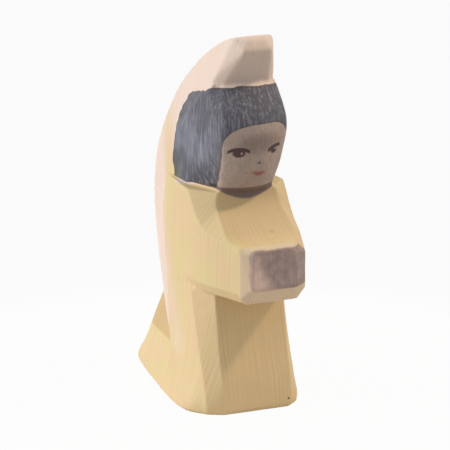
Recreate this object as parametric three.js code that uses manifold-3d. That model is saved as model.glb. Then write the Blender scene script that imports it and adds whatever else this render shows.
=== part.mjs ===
// A carved wooden angel: gown with a train, sleeves, hands, head, hair and a pair of folded wings.
// Millimetres, +Z up. The figure faces -Y, so its own right side is at -X.

import * as THREE from 'three';
import { ConvexGeometry } from 'three/addons/geometries/ConvexGeometry.js';
import { mergeVertices } from 'three/addons/utils/BufferGeometryUtils.js';
import Module from 'manifold-3d';

const wasm = await Module();
wasm.setup();

// Heights, stacked from the floor up
const skirtHeight = 44;
const bodiceHeight = 37;
const headHeight = 38.5;
const crestHeight = 18.5;
const waistZ = skirtHeight;
const shoulderZ = waistZ + bodiceHeight;
const crestZ = shoulderZ + headHeight;
const tipZ = crestZ + crestHeight;

// Reach in front of the body's axis, and behind it for the train
const handsReach = 35;
const handsDepth = 4;
const wristReach = handsReach - handsDepth;
const noseReach = 20.5;
const tipReach = 16;
const crestReach = 12.6;
const trainReach = 52.6;

// Clearance between pieces that meet, how far a tenon is rooted in its own piece, and how far a cut runs past
const fit = 0.3;
const root = 1;
const past = 30;

// Flank: half-width of the figure seen from the front
const hipHalf = 20;
const waistHalf = 18.4;
const shoulderHalf = 15.5;
const crestHalf = 13.6;
const crownHalf = 9.6;

// Skirt: flat front, corner chamfers, sides that flare to the hem and a train that narrows to the back
const hemRound = 1.2;
const frontHalf = 13.4;
const rightHemHalf = 24.2;
const leftHemHalf = 21;
const rightCornerHalf = 18.8;
const leftCornerHalf = 17;
const heelFlare = 0.88;
const ankleFlare = 0.36;
const kneeFlare = 0.12;
const hemFront = 20.4;
const kneeFront = 16.4;
const waistFront = 12.6;
const hemCorner = 17.4;
const kneeCorner = 9.8;
const waistCorner = 3;
const kneeHeight = 24;
const ankleHeight = 12;
const ankleFront = 19.8;
const ankleCorner = 14.6;
const ankleReach = 48.6;
const ankleTrainHalf = 14.6;
const flankHalf = 20.2;
const kneeFlankHalf = 17.4;
const waistFlankHalf = 16;
const flankBack = 31;
const trainHalf = 16.6;
const trainTopHalf = 8;
const trainTopReach = 34.5;
const heelLift = 4;

// Recess of the train behind the wings: half-width at its low corner and how fast it closes upwards and back
const recessHalf = 15;
const recessReach = 40;
const recessHeight = 19;
const recessLean = 0.31;
const recessTaper = 0.084;

// Wings: a crescent about a centre ahead of the body, bevelled to a thinner back edge
const wingCentreAhead = 38;
const wingCentreDrop = 21;
const wingDepth = 14.7;
const wingFootHalf = 19;
const wingWaistHalf = 17.6;
const footEdgeHalf = 11.5;
const waistEdgeHalf = 12.3;
const shoulderEdgeHalf = 14.1;
const crownEdgeHalf = 10.5;
const tipEdgeHalf = 9;
const wingEndAngle = THREE.MathUtils.degToRad(-40.5);
const wingTaperAngle = THREE.MathUtils.degToRad(-19);
const wingWaistAngle = THREE.MathUtils.degToRad(-10);
const wingShoulderAngle = THREE.MathUtils.degToRad(18);
const wingCrownAngle = THREE.MathUtils.degToRad(48);
const wingTaperLead = 12;

// Crest: a wedge over the forehead, round where it leaves the hair and narrow at its blunt nose
const noseHalf = 5.2;
const noseTopHalf = 3;
const noseDrop = 4.5;
const noseRound = 0.4;
const crestBend = 2.7;
const crestBendHalf = 8.8;
const crestSideBack = 7.7;

// Chest and sleeves
const cuffHeight = 20.5;
const chestTopReach = 10.4;
const chestBendReach = 12.6;
const chestBendDrop = 6;
const lapReach = 24;
const lapRise = 2.2;
const cuffRise = 0.8;
const neckHalf = 10.6;
const chestHalf = 12.4;
const lapHalf = 13.2;
const cuffHalf = 12.2;
const leftCuffHalf = 13.6;
const elbowHalf = 18.5;
const elbowReach = 10.7;
const armholeHalf = 18.4;
const sleeveTuck = 3;
const sleeveTuckRise = 4;
const sleeveInner = 9;
const armholeBack = 8;
const shoulderReach = 0.4;
const sleeveEdgeDrop = 11.5;

// Hands: a chamfered block on the ends of both sleeves
const handsTopHalf = 8.2;
const handsLowHalf = 8.9;
const handsLowBevel = 5.6;
const handsTopDrop = 0.4;
const handsCorner = 1.2;
const cuffCorner = 2;
const leftCuffCorner = 4;

// Head: rounded face, chamfered temples, and the hairline that frames the face
const chinHeight = 2.6;
const browHeight = 27;
const throatReach = 13;
const chinReach = 16;
const cheekReach = 20.2;
const browReach = 21.2;
const chinHalf = 10.2;
const cheekHalf = 11.6;
const browHalf = 12.5;
const throatEdge = 9.6;
const chinEdge = 11.2;
const cheekEdge = 15.2;
const browEdge = 17.7;
const cheekHeight = 12;
const templeBack = 7;
const templeOut = 2.2;
const faceHalf = 11.2;
const faceDepth = 4;
const hairlineHeight = 26;
const hairlineSpring = 18;

// Joints cut in the wood
const neckRadius = 6.5;
const neckAhead = 3;
const neckTenon = 10;
const waistTenonHalf = 8;
const waistTenonFront = 2;
const waistTenonBack = 14;
const waistTenonDepth = 8;
const tongueHalf = 3;
const tongueDepth = 4;
const tongueEnd = THREE.MathUtils.degToRad(-24);
const tongueTop = THREE.MathUtils.degToRad(44);
const sleeveTenon = 4;
const sleeveTenonFront = 18;
const sleeveTenonBack = 8;
const sleeveTenonLow = 6;
const sleeveTenonHigh = 14;
const handsTenon = 5;
const handsTenonHalf = 4.5;
const handsTenonLow = 7;
const handsTenonHigh = 15;

// Smoothness of the curved faces
const arcSteps = 40;
const splineSteps = 5;
const loftSteps = 4;

// Colours: bare maple, yellow washed gown, slate washed hair, washed skin
const bareMaple = 0xf5e0cd;
const gownYellow = 0xe4cb9a;
const hairSlate = 0x6b6f78;
const skinBrown = 0xaf9c91;
const bareRoughness = 0.58;
const washRoughness = 0.62;

const figure = new THREE.Group();
figure.name = 'angel';

// Turns a closed geometry into a solid that can be joined and cut
function solid(geometry) {
  const bare = geometry.clone();
  bare.deleteAttribute('normal');
  bare.deleteAttribute('uv');
  const merged = mergeVertices(bare, 1e-4);
  return new wasm.Manifold(new wasm.Mesh({
    numProp: 3,
    vertProperties: new Float32Array(merged.attributes.position.array),
    triVerts: new Uint32Array(merged.index.array),
  }));
}

// Extrudes a flat shape: its own x, y and depth run along the three given directions
function extrude(shape, depth, origin, right, up, steps) {
  const geometry = new THREE.ExtrudeGeometry(shape, { depth, bevelEnabled: false, curveSegments: steps });
  const out = new THREE.Vector3().crossVectors(right, up);
  geometry.applyMatrix4(new THREE.Matrix4().makeBasis(right, up, out).setPosition(origin));
  return solid(geometry);
}

const alongX = new THREE.Vector3(1, 0, 0);
const alongY = new THREE.Vector3(0, 1, 0);
const alongZ = new THREE.Vector3(0, 0, 1);

// A side outline (y, z) carried across the figure, from x = -half to x = +half
function acrossX(shape, half, steps = splineSteps) {
  return extrude(shape, 2 * half, new THREE.Vector3(-half, 0, 0), alongY, alongZ, steps);
}

// A front outline (x, z) carried from y = front to y = back
function throughY(shape, front, back, steps = splineSteps) {
  return extrude(shape, back - front, new THREE.Vector3(0, back, 0), alongX, alongZ, steps);
}

// A box between two corners
function box(x0, y0, z0, x1, y1, z1) {
  const geometry = new THREE.BoxGeometry(x1 - x0, y1 - y0, z1 - z0);
  geometry.translate((x0 + x1) / 2, (y0 + y1) / 2, (z0 + z1) / 2);
  return solid(geometry);
}

// Joins rings of points, given from the bottom up and each counter-clockwise from above, into a closed skin
function loft(rings) {
  const count = rings[0].length;
  const top = (rings.length - 1) * count;
  const lowMiddle = rings.length * count;
  const highMiddle = lowMiddle + 1;
  const middle = (ring) => ring.reduce((sum, p) => sum.add(p), new THREE.Vector3()).divideScalar(count);
  const indices = [];
  for (let level = 0; level < rings.length - 1; level += 1) {
    for (let i = 0; i < count; i += 1) {
      const a = level * count + i;
      const b = level * count + (i + 1) % count;
      indices.push(a, b, b + count, a, b + count, a + count);
    }
  }
  for (let i = 0; i < count; i += 1) {
    const next = (i + 1) % count;
    indices.push(lowMiddle, next, i);
    indices.push(highMiddle, top + i, top + next);
  }
  const points = [...rings.flat(), middle(rings[0]), middle(rings.at(-1))];
  const positions = points.flatMap((p) => p.toArray());
  const geometry = new THREE.BufferGeometry();
  geometry.setAttribute('position', new THREE.Float32BufferAttribute(positions, 3));
  geometry.setIndex(indices);
  return solid(geometry);
}

// Smooth stations: each point of the given half outlines follows a curve from one height to the next
function smoothStations(stations, steps = loftSteps) {
  const tracks = stations[0].map((_, i) => new THREE.CatmullRomCurve3(
    stations.map((station) => station[i]), false, 'catmullrom'));
  const levels = (stations.length - 1) * steps;
  const ring = (level) => tracks.map((track) => track.getPoint(level / levels));
  return Array.from({ length: levels + 1 }, (_, level) => ring(level));
}

// Closes a half outline on +X, given from the front to the back, with the mirror image of the other side's
function mirrored(half, otherHalf = half) {
  const other = otherHalf.filter((p) => p.x > 0).reverse().map((p) => new THREE.Vector3(-p.x, p.y, p.z));
  return [...half, ...other];
}

// A shape that is mirrored about its own y axis: the points give its right side from the bottom up
function symmetricShape(right) {
  return new THREE.Shape([...right, ...right.map((p) => new THREE.Vector2(-p.x, p.y)).reverse()]);
}

// A smooth run of points through the given ones
function smooth(points) {
  const curve = new THREE.SplineCurve(points.map(([x, y]) => new THREE.Vector2(x, y)));
  return curve.getPoints(points.length * splineSteps);
}

// Adds a finished solid to the figure as a named piece
function addPiece(name, piece, color, roughness) {
  const mesh = piece.getMesh();
  const geometry = new THREE.BufferGeometry();
  geometry.setAttribute('position', new THREE.BufferAttribute(new Float32Array(mesh.vertProperties), 3));
  geometry.setIndex(new THREE.BufferAttribute(new Uint32Array(mesh.triVerts), 1));
  geometry.computeVertexNormals();
  const node = new THREE.Mesh(geometry, new THREE.MeshStandardMaterial({ color, roughness, metalness: 0 }));
  node.name = name;
  figure.add(node);
}

// Flank: what the saw leaves of the blank seen from the front
const flank = throughY(symmetricShape(smooth([
  [hipHalf, -past],
  [hipHalf, 0],
  [waistHalf, waistZ],
  [shoulderHalf, shoulderZ],
  [crestHalf, crestZ],
  [crownHalf, tipZ],
])), -3 * past, 3 * past);

// Wings
const wingCentreZ = shoulderZ - wingCentreDrop;
const wingOuter = Math.hypot(wingCentreAhead - tipReach, tipZ - wingCentreZ);
const wingInner = wingOuter - wingDepth;
const tipAngle = Math.atan2(tipZ - wingCentreZ, wingCentreAhead - tipReach);
const crestAngle = Math.atan2(crestZ - wingCentreZ, wingCentreAhead - crestReach);

// A point of the side view, by its radius and angle about the wings' centre
function wingPoint(radius, angle) {
  const ray = new THREE.Vector2(Math.cos(angle), Math.sin(angle));
  return new THREE.Vector2(-wingCentreAhead, wingCentreZ).addScaledVector(ray, radius);
}

// Side outline of the crescent, grown all round by the given clearance
const wingEnd = wingPoint(wingInner, wingEndAngle);
const wingBend = wingPoint(wingOuter, wingTaperAngle);
const bendOut = new THREE.Vector2(Math.cos(wingTaperAngle), Math.sin(wingTaperAngle));
const bendControl = wingBend.clone().addScaledVector(new THREE.Vector2(bendOut.y, -bendOut.x), wingTaperLead);
const endOut = new THREE.Vector2(wingEnd.y - bendControl.y, bendControl.x - wingEnd.x).normalize().negate();
const endIn = new THREE.Vector2(-Math.cos(wingEndAngle), -Math.sin(wingEndAngle));

// Where two edges that meet at a corner meet again once both have moved out by one unit
function corner(normalA, normalB) {
  return normalA.clone().add(normalB).divideScalar(1 + normalA.dot(normalB));
}

function crescent(grow) {
  const end = wingEnd.clone().addScaledVector(corner(endOut, endIn), grow);
  const control = bendControl.clone().addScaledVector(corner(bendOut, endOut), grow);
  const shape = new THREE.Shape();
  shape.moveTo(end.x, end.y);
  shape.absarc(-wingCentreAhead, wingCentreZ, wingInner - grow, wingEndAngle, crestAngle);
  shape.lineTo(-crestReach - grow, crestZ - grow);
  shape.lineTo(-noseReach - grow, tipZ - noseDrop);
  shape.quadraticCurveTo(-noseReach - grow, tipZ - noseRound + grow, -tipReach, tipZ + grow);
  shape.absarc(-wingCentreAhead, wingCentreZ, wingOuter + grow, tipAngle, wingTaperAngle, true);
  shape.quadraticCurveTo(control.x, control.y, end.x, end.y);
  return shape;
}

// Cross-section of the wings on one ray from their centre: wide at the inner border, narrow at the back edge
function wingSection(angle, innerHalf, edgeHalf) {
  const over = 2 * tongueDepth;
  const lean = (edgeHalf - innerHalf) / wingDepth;
  const inner = wingPoint(wingInner - over, angle);
  const outer = wingPoint(wingOuter + over, angle);
  const wide = innerHalf - lean * over;
  const narrow = edgeHalf + lean * over;
  return [
    new THREE.Vector3(-wide, inner.x, inner.y),
    new THREE.Vector3(wide, inner.x, inner.y),
    new THREE.Vector3(narrow, outer.x, outer.y),
    new THREE.Vector3(-narrow, outer.x, outer.y),
  ];
}
const wingsBlank = loft(smoothStations([
  wingSection(2 * wingEndAngle - wingTaperAngle, wingFootHalf, footEdgeHalf),
  wingSection(wingEndAngle, wingFootHalf, footEdgeHalf),
  wingSection(wingWaistAngle, wingWaistHalf, waistEdgeHalf),
  wingSection(wingShoulderAngle, shoulderHalf, shoulderEdgeHalf),
  wingSection(wingCrownAngle, crestHalf, crownEdgeHalf),
  wingSection(2 * tipAngle - wingCrownAngle, crestHalf, tipEdgeHalf),
], 2 * loftSteps));

// The crest's envelope: a round front where it leaves the hair, drawn in to the nose
const crestSideReach = crestReach - crestSideBack;
const crestEnvelope = [
  [0, -crestReach, crestZ],
  [crestBendHalf, crestBend - crestReach, crestZ],
  [crestHalf, -crestSideReach, crestZ],
  [noseHalf, -noseReach, tipZ - noseDrop],
  [noseTopHalf, noseDrop / 2 - noseReach, tipZ + root],
  [crestHalf - noseDrop, -crestReach, tipZ + root],
  [crestHalf, -crestSideReach, tipZ + root],
  [crestHalf + past, 2 * past, crestZ],
  [crestHalf + past, 2 * past, tipZ + root],
];
const crestWedge = solid(new ConvexGeometry(crestEnvelope.flatMap(([x, y, z]) => [
  new THREE.Vector3(x, y, z),
  new THREE.Vector3(-x, y, z),
])));
const belowCrest = box(-2 * past, -3 * past, -past, 2 * past, 3 * past, crestZ);

// The tongue on the wings' inner face runs in a groove down the backs of hair, bodice and skirt
function tongue(grow) {
  const outer = wingInner + tongueDepth;
  const inner = wingInner - tongueDepth - grow;
  const low = tongueEnd - grow / inner;
  const high = tongueTop + grow / inner;
  const shape = new THREE.Shape();
  shape.absarc(-wingCentreAhead, wingCentreZ, outer, low, high);
  shape.absarc(-wingCentreAhead, wingCentreZ, inner, high, low, true);
  return acrossX(shape, tongueHalf + grow, arcSteps / 2);
}

const wingSlot = acrossX(crescent(fit), 2 * past, arcSteps);
const wingHollow = new THREE.CylinderGeometry(wingInner - fit, wingInner - fit, 2 * past, 4 * arcSteps);
wingHollow.rotateZ(Math.PI / 2);
wingHollow.translate(0, -wingCentreAhead, wingCentreZ);
const aheadOfWings = solid(wingHollow);
const groove = tongue(fit);
const wings = acrossX(crescent(0), 2 * past, arcSteps)
  .intersect(wingsBlank)
  .intersect(crestWedge.add(belowCrest))
  .add(tongue(0));

// Skirt: half outline at one height, from the front's flat face round the corner and the side to the train
function skirtOutline(z, front, corner, cornerHalf, sideHalf, flankWidth, back, backWidth) {
  const side = new THREE.CatmullRomCurve3([
    new THREE.Vector3(cornerHalf, -corner, z),
    new THREE.Vector3(sideHalf, -corner / 2, z),
    new THREE.Vector3(flankWidth, flankBack, z),
    new THREE.Vector3(backWidth, back, z),
  ]);
  return [new THREE.Vector3(frontHalf, -front, z), ...side.getPoints(3 * splineSteps)];
}

// The skirt's outlines from the hem up to the waist, on one side
function skirtSide(hemHalf, cornerHalf) {
  const sideAt = (flare) => waistHalf + flare * (hemHalf - waistHalf);
  const kneeReach = (trainReach + trainTopReach) / 2;
  const kneeTrainHalf = (trainHalf + trainTopHalf) / 2;
  const heelReach = trainReach - heelLift / 2;
  return [
    skirtOutline(hemRound, hemFront, hemCorner, cornerHalf, hemHalf, flankHalf, heelReach, trainHalf),
    skirtOutline(heelLift, hemFront, hemCorner, cornerHalf, sideAt(heelFlare), flankHalf,
      trainReach, trainHalf),
    skirtOutline(ankleHeight, ankleFront, ankleCorner, cornerHalf, sideAt(ankleFlare), flankHalf,
      ankleReach, ankleTrainHalf),
    skirtOutline(kneeHeight, kneeFront, kneeCorner, cornerHalf, sideAt(kneeFlare), kneeFlankHalf,
      kneeReach, kneeTrainHalf),
    skirtOutline(waistZ, waistFront, waistCorner, cornerHalf, waistHalf, waistFlankHalf,
      trainTopReach, trainTopHalf),
  ];
}
function skirtRings(stations) {
  const inset = new THREE.Vector3(1 - hemRound / rightHemHalf, 1 - hemRound / hemFront, 0);
  return [stations[0].map((p) => p.clone().multiply(inset)), ...smoothStations(stations)];
}
const rightRings = skirtRings(skirtSide(rightHemHalf, rightCornerHalf));
const leftRings = skirtRings(skirtSide(leftHemHalf, leftCornerHalf));
const skirtBlank = loft(leftRings.map((left, level) => mirrored(left, rightRings[level])));

// The train behind the wings is cut back to two leaning faces
function recessRing(z) {
  const halfAt = (y) => recessHalf - recessTaper * (y - recessReach) - recessLean * (z - recessHeight);
  const front = -hemFront;
  const back = trainReach + past;
  return mirrored([new THREE.Vector3(halfAt(front), front, z), new THREE.Vector3(halfAt(back), back, z)]);
}
const trainCore = loft([recessRing(-root), recessRing(waistZ + root)]);
const behindWings = new THREE.Shape();
behindWings.moveTo(wingEnd.x, wingEnd.y);
behindWings.quadraticCurveTo(bendControl.x, bendControl.y, wingBend.x, wingBend.y);
behindWings.lineTo(wingBend.x, waistZ + past);
behindWings.lineTo(trainReach + past, waistZ + past);
behindWings.lineTo(trainReach + past, 0);
behindWings.lineTo(wingEnd.x, 0);
const recess = acrossX(behindWings, 2 * past).subtract(trainCore);

function waistTenon(grow) {
  return box(-waistTenonHalf - grow, -waistTenonFront - grow, waistZ - waistTenonDepth - grow,
    waistTenonHalf + grow, waistTenonBack + grow, waistZ + root);
}
const skirt = skirtBlank
  .subtract(recess)
  .subtract(wingSlot)
  .subtract(groove)
  .subtract(waistTenon(fit));

// Chest and arms: one block with a hollowed slope from the neck to the hands
const cuffZ = waistZ + cuffHeight;
const armsFloor = waistZ + fit;
const chestLine = [
  new THREE.Vector2(-wristReach, cuffZ + cuffRise),
  new THREE.Vector2(-lapReach, cuffZ + lapRise),
  new THREE.Vector2(-chestBendReach, shoulderZ - chestBendDrop),
  new THREE.Vector2(-chestTopReach, shoulderZ - fit),
];
const armsSide = new THREE.Shape();
armsSide.moveTo(-wristReach, armsFloor);
armsSide.lineTo(chestLine[0].x, chestLine[0].y);
armsSide.splineThru(chestLine.slice(1));
armsSide.lineTo(2 * past, shoulderZ - fit);
armsSide.lineTo(2 * past, armsFloor);

// Plan of the arms on one side at one height: tucked in along the sleeve's lower edge, narrower at the wings
function armsOutline(z, cuffWidth, backWidth, tuck) {
  const sleeve = new THREE.CatmullRomCurve3([
    new THREE.Vector3(cuffWidth - tuck, -wristReach, z),
    new THREE.Vector3(elbowHalf - tuck, -elbowReach, z),
    new THREE.Vector3(armholeHalf, armholeBack, z),
    new THREE.Vector3(backWidth, wingInner - wingCentreAhead, z),
  ]);
  return [new THREE.Vector3(cuffWidth - tuck, -wristReach - past, z), ...sleeve.getPoints(3 * splineSteps)];
}
const armsBlank = loft([
  [armsFloor - sleeveTuckRise, wingWaistHalf, 2 * sleeveTuck],
  [armsFloor + sleeveTuckRise, wingWaistHalf, 0],
  [shoulderZ, shoulderHalf, 0],
].map(([z, backWidth, tuck]) => mirrored(
  armsOutline(z, leftCuffHalf, backWidth, tuck),
  armsOutline(z, cuffHalf, backWidth, tuck),
)));

// The slope's corners are bevelled down to each sleeve's upper edge; side is -1 on the figure's right
function sleeveBevel(side, cuffWidth, cut) {
  const inner = new THREE.CatmullRomCurve3([
    new THREE.Vector3(neckHalf, -chestTopReach, shoulderZ + root),
    new THREE.Vector3(chestHalf, -chestBendReach, shoulderZ - chestBendDrop),
    new THREE.Vector3(lapHalf, -lapReach, cuffZ + lapRise),
    new THREE.Vector3(cuffWidth - cut, -wristReach - root, cuffZ + cuffRise),
  ]);
  const outer = new THREE.CatmullRomCurve3([
    new THREE.Vector3(armholeHalf, -shoulderReach, shoulderZ + root),
    new THREE.Vector3(elbowHalf, -elbowReach, shoulderZ - sleeveEdgeDrop),
    new THREE.Vector3((elbowHalf + cuffWidth) / 2, -lapReach, cuffZ),
    new THREE.Vector3(cuffWidth, -wristReach - root, cuffZ + cuffRise - cut),
  ]);
  const away = new THREE.Vector3(past / 2, -past / 6, past / 4);
  const offChest = new THREE.Vector3(0, -past / 3, past / 3);
  const steps = 3 * splineSteps;
  const rings = Array.from({ length: steps + 1 }, (_, i) => {
    const a = inner.getPoint(i / steps);
    const b = outer.getPoint(i / steps);
    const beyond = b.clone().sub(a).normalize().multiplyScalar(past / 4).add(b);
    return [a, beyond, beyond.clone().add(away), a.clone().add(offChest)];
  });
  const cutter = loft(rings);
  return side > 0 ? cutter : cutter.mirror([1, 0, 0]);
}
const arms = acrossX(armsSide, 2 * past)
  .intersect(armsBlank)
  .subtract(sleeveBevel(-1, cuffHalf, cuffCorner))
  .subtract(sleeveBevel(1, leftCuffHalf, leftCuffCorner))
  .intersect(aheadOfWings);

// Sleeves: the outer parts of that block, each with a tenon into the bodice
function sleeveTenonBox(side, grow) {
  const inside = sleeveInner - sleeveTenon - grow;
  const outside = sleeveInner + root;
  const tenon = box(inside, -sleeveTenonFront - grow, waistZ + sleeveTenonLow - grow,
    outside, grow - sleeveTenonBack, waistZ + sleeveTenonHigh + grow);
  return side > 0 ? tenon : tenon.mirror([1, 0, 0]);
}
function sleeveRegion(side, grow) {
  const inside = side * (sleeveInner - grow);
  const outside = side * 2 * past;
  return box(Math.min(inside, outside), -wristReach - root, 0,
    Math.max(inside, outside), armholeBack + grow, tipZ);
}
const rightSleeve = arms.intersect(sleeveRegion(-1, 0)).add(sleeveTenonBox(-1, 0));
const leftSleeve = arms.intersect(sleeveRegion(1, 0)).add(sleeveTenonBox(1, 0));

// Hands: two eight-sided rings, the flat front and the face that meets the cuffs
const handsLow = waistZ + handsLowBevel;
const handsTop = cuffZ - handsTopDrop;
const cuffFace = -wristReach - fit;
function handsRing(y, right, left, low, top) {
  return [
    new THREE.Vector3(right.cut - right.lowHalf, y, low),
    new THREE.Vector3(-right.lowHalf, y, low + right.cut),
    new THREE.Vector3(-right.topHalf, y, top - right.cut),
    new THREE.Vector3(right.cut - right.topHalf, y, top),
    new THREE.Vector3(left.topHalf - left.cut, y, top),
    new THREE.Vector3(left.topHalf, y, top - left.cut),
    new THREE.Vector3(left.lowHalf, y, low + left.cut),
    new THREE.Vector3(left.lowHalf - left.cut, y, low),
  ];
}
const knuckles = { lowHalf: handsLowHalf, topHalf: handsTopHalf, cut: handsCorner };
const rightCuff = { lowHalf: cuffHalf, topHalf: cuffHalf, cut: cuffCorner };
const leftCuff = { lowHalf: leftCuffHalf, topHalf: leftCuffHalf, cut: leftCuffCorner };
const handsBlock = loft([
  handsRing(-handsReach, knuckles, knuckles, handsLow, handsTop),
  handsRing(cuffFace, rightCuff, leftCuff, armsFloor, cuffZ + cuffRise),
]);
function handsTenonBox(grow) {
  return box(-handsTenonHalf - grow, -wristReach - root, waistZ + handsTenonLow - grow,
    handsTenonHalf + grow, -wristReach + handsTenon + grow, waistZ + handsTenonHigh + grow);
}
const hands = handsBlock.add(handsTenonBox(0));

// Neck: a round tenon under the head
function neck(grow) {
  const low = shoulderZ - neckTenon - grow;
  const high = shoulderZ + chinHeight;
  const geometry = new THREE.CylinderGeometry(neckRadius + grow, neckRadius + grow, high - low, arcSteps);
  geometry.rotateX(Math.PI / 2);
  geometry.translate(0, -neckAhead, (low + high) / 2);
  return solid(geometry);
}

const bodice = arms
  .subtract(sleeveRegion(-1, fit))
  .subtract(sleeveRegion(1, fit))
  .subtract(sleeveTenonBox(-1, fit))
  .subtract(sleeveTenonBox(1, fit))
  .subtract(handsTenonBox(fit))
  .subtract(neck(fit))
  .subtract(groove)
  .add(waistTenon(0));

// Head: half outline at one height, from the middle of the face round to behind the ear
function headOutline(height, reach, edgeReach, edgeHalf, out = templeOut, back = templeBack) {
  const z = shoulderZ + height;
  const face = new THREE.QuadraticBezierCurve3(
    new THREE.Vector3(0, -reach, z),
    new THREE.Vector3(edgeHalf / 2, -reach, z),
    new THREE.Vector3(edgeHalf, -edgeReach, z),
  );
  return [
    ...face.getPoints(splineSteps),
    new THREE.Vector3(edgeHalf + out, back - edgeReach, z),
    new THREE.Vector3(armholeHalf, 2 * templeBack, z),
    new THREE.Vector3(armholeHalf, past + templeBack, z),
  ];
}
const headBlank = loft(smoothStations([
  headOutline(0, throatReach, throatEdge, chinHalf),
  headOutline(chinHeight, chinReach, chinEdge, chinHalf),
  headOutline(cheekHeight, cheekReach, cheekEdge, cheekHalf),
  headOutline(browHeight, browReach, browEdge, browHalf),
  headOutline(headHeight, crestReach, crestReach - crestBend, crestBendHalf, crestHalf - crestBendHalf,
    crestSideBack - crestBend),
]).map((half) => mirrored(half)))
  .intersect(flank)
  .intersect(aheadOfWings)
  .subtract(wingSlot)
  .subtract(groove);

// The face and neck fill an arched opening in the hair
function faceArch(grow) {
  const half = faceHalf + grow;
  const spring = shoulderZ + hairlineSpring;
  const shape = new THREE.Shape();
  shape.moveTo(-half, shoulderZ - past);
  shape.lineTo(half, shoulderZ - past);
  shape.lineTo(half, spring);
  shape.absellipse(0, spring, half, hairlineHeight - hairlineSpring + grow, 0, Math.PI);
  return throughY(shape, -handsReach, faceDepth + grow, arcSteps / 4);
}
const hair = headBlank.subtract(faceArch(fit));
const head = headBlank.intersect(faceArch(0)).add(neck(0));

addPiece('skirt', skirt, gownYellow, washRoughness);
addPiece('bodice', bodice, gownYellow, washRoughness);
addPiece('right_sleeve', rightSleeve, gownYellow, washRoughness);
addPiece('left_sleeve', leftSleeve, gownYellow, washRoughness);
addPiece('hands', hands, skinBrown, washRoughness);
addPiece('head', head, skinBrown, washRoughness);
addPiece('hair', hair, hairSlate, washRoughness);
addPiece('wings', wings, bareMaple, bareRoughness);

// The origin is on the floor, under the middle of the figure's length and breadth
const middle = new THREE.Box3().setFromObject(figure).getCenter(new THREE.Vector3());
figure.position.set(-middle.x, -middle.y, 0);

export default figure;
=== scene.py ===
"""A carved maple angel under thin washes of paint.

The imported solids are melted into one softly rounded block, as the carver's knife and sandpaper leave it,
and the block is then parted again into the eight pieces. Paint is laid by place, so that its borders run
on from one piece to the next. Lengths are millimetres from the body's axis on the floor, with +Z up and
the figure facing -Y, until they are handed to Blender.
"""

from __future__ import annotations

import logging
import math
from dataclasses import dataclass, field
from enum import Enum

import bmesh
import bpy
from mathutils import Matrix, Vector, noise

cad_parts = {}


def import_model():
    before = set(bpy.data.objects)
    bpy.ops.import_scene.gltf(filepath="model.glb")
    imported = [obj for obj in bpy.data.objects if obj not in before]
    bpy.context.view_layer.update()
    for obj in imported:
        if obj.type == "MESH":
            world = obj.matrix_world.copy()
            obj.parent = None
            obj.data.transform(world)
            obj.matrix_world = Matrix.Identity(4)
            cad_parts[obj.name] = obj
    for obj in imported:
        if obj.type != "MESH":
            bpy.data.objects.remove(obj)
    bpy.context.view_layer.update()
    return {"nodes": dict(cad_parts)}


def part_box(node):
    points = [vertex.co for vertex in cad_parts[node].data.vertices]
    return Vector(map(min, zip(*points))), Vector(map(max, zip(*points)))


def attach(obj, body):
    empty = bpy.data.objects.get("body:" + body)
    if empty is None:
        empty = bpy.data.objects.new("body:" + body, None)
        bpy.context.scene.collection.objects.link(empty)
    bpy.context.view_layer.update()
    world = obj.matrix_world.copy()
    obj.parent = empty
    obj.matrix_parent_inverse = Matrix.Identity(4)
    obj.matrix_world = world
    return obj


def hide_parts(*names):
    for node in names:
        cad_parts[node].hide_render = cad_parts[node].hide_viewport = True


log = logging.getLogger("angel")
MM = 0.001

# Noise lies about 0.5, and these limits spread its middle over the whole range
SPREAD = (0.35, 0.65)

Node = bpy.types.Node
Feed = bpy.types.Node | bpy.types.NodeSocket | float | tuple


def linear(hex_colour: str) -> tuple[float, float, float, float]:
    """Turns an sRGB hex colour into linear light.

    Args:
        hex_colour: Colour such as "#F5E0CD".

    Returns:
        Linear red, green, blue and an alpha of 1.
    """
    channels = [int(hex_colour[i:i + 2], 16) / 255 for i in (1, 3, 5)]
    light = [c / 12.92 if c <= 0.04045 else ((c + 0.055) / 1.055) ** 2.4 for c in channels]
    return (*light, 1.0)


class Slot(Enum):
    """Material slots of the record, by the finish that they hold."""

    GOWN = "gown_wash"
    SKIN = "skin_wash"
    HAIR = "hair_wash"
    BARE = "bare_maple"


@dataclass(frozen=True)
class Axis:
    """Where the body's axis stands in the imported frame, in metres."""

    x: float
    y: float

    @classmethod
    def from_frame(cls, hands_reach: float) -> Axis:
        """Finds the axis from the middle of the head and the front of the hands.

        Args:
            hands_reach: How far the hands reach ahead of the axis, in millimetres.

        Returns:
            The axis.
        """
        head_low, head_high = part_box("head")
        hands_low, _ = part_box("hands")
        return cls((head_low.x + head_high.x) / 2, hands_low.y + hands_reach * MM)

    def place(self, x: float, y: float, z: float) -> Vector:
        """Gives a point of the figure, in millimetres, as a point of the frame, in metres."""
        return Vector((self.x + x * MM, self.y + y * MM, z * MM))


@dataclass(frozen=True)
class Oval:
    """An upright oval on the figure's front: its middle and its half-sizes in millimetres."""

    x: float
    z: float
    half_width: float
    half_height: float


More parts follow.
